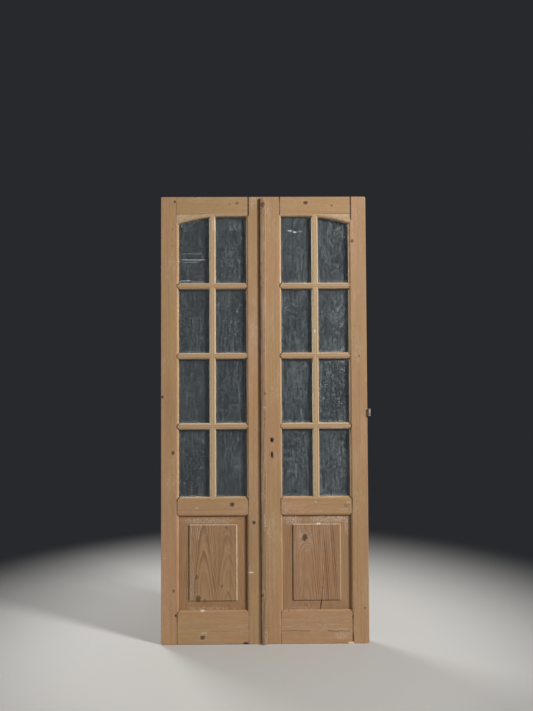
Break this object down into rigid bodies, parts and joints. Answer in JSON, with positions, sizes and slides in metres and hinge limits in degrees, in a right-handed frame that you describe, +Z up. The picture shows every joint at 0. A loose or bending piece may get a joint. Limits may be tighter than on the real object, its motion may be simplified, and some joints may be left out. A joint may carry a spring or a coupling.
{
  "type": "glazed double door leaves",
  "caption": "Pair of tall glazed pine door leaves under a low arch, with moulded glazing bars, fielded lower panels, a cover strip on the rebated meeting edge and a mortise lock.",
  "frame": {"origin": "centre of the pair between its outer edges, at the foot, halfway through the leaves' thickness", "axes": "+X across the pair to the right leaf seen from the front, -Y out of the moulded front, +Z up"},
  "size_m": [1.1145, 0.055, 2.375],
  "materials": {
    "stripped_pine": "stripped and waxed, matt",
    "panel_pine": "stripped and waxed, strong grain",
    "strip_pine": "rough, weathered",
    "bead_pine": "plain planed",
    "wedge_wood": "end grain, matt",
    "old_glass": "old, dusty, smeared",
    "hinge_iron": "worn iron with rust",
    "nail_iron": "dull",
    "lock_iron": "dull, oily",
    "bolt_steel": "worn"
  },
  "bodies": {
    "left_leaf": {"left_bottom_rail": "stripped_pine", "left_cross_bar_1": "stripped_pine", "left_cross_bar_2": "stripped_pine", "left_cross_bar_3": "stripped_pine", "left_glazing_beads": "bead_pine", "left_hinge_stile": "stripped_pine", "left_lock_rail": "stripped_pine", "left_meeting_stile": "stripped_pine", "left_pane_1_inner": "old_glass", "left_pane_1_outer": "old_glass", "left_pane_2_inner": "old_glass", "left_pane_2_outer": "old_glass", "left_pane_3_inner": "old_glass", "left_pane_3_outer": "old_glass", "left_pane_4_inner": "old_glass", "left_pane_4_outer": "old_glass", "left_panel": "panel_pine", "left_tenon_wedges": "wedge_wood", "left_top_rail": "stripped_pine", "left_upright_bar": "stripped_pine", "strike_plate": "bolt_steel", "strike_screws": "bolt_steel"},
    "right_leaf": {"right_bottom_rail": "stripped_pine", "right_cross_bar_1": "stripped_pine", "right_cross_bar_2": "stripped_pine", "right_cross_bar_3": "stripped_pine", "right_glazing_beads": "bead_pine", "right_hinge_stile": "stripped_pine", "right_lock_rail": "stripped_pine", "right_meeting_stile": "stripped_pine", "right_pane_1_inner": "old_glass", "right_pane_1_outer": "old_glass", "right_pane_2_inner": "old_glass", "right_pane_2_outer": "old_glass", "right_pane_3_inner": "old_glass", "right_pane_3_outer": "old_glass", "right_pane_4_inner": "old_glass", "right_pane_4_outer": "old_glass", "right_panel": "panel_pine", "right_tenon_wedges": "wedge_wood", "right_top_rail": "stripped_pine", "right_upright_bar": "stripped_pine", "astragal": "strip_pine", "astragal_nails": "nail_iron", "hinge_knuckle": "hinge_iron", "hinge_screws": "hinge_iron", "lock_case": "lock_iron", "lock_cap": "lock_iron", "lock_forend": "bolt_steel", "forend_screws": "bolt_steel"},
    "latch_bolt": {"latch_bolt": "bolt_steel"},
    "dead_bolt": {"dead_bolt": "bolt_steel"},
    "spindle_follower": {"spindle_follower": "lock_iron"}
  },
  "joints": [
    {"name": "right_leaf_swing", "type": "hinge", "parent": "left_leaf", "child": "right_leaf", "pos_m": [0.55875, -0.02625, 1.216], "axis": [0, 0, 1], "range_deg": [0, 110]},
    {"name": "follower_turn", "type": "hinge", "parent": "right_leaf", "child": "spindle_follower", "pos_m": [0.04, 0.0085, 1.072], "axis": [0, -1, 0], "range_deg": [0, 31]},
    {"name": "latch_slide", "type": "slide", "parent": "right_leaf", "child": "latch_bolt", "axis": [-1, 0, 0], "range_m": [0, 0.01]},
    {"name": "dead_bolt_throw", "type": "slide", "parent": "right_leaf", "child": "dead_bolt", "axis": [-1, 0, 0], "range_m": [0, 0.014]}
  ],
  "couplings": [
    {"joint": "follower_turn", "follows": "latch_slide", "rad_per_m": 52.35}
  ]
}
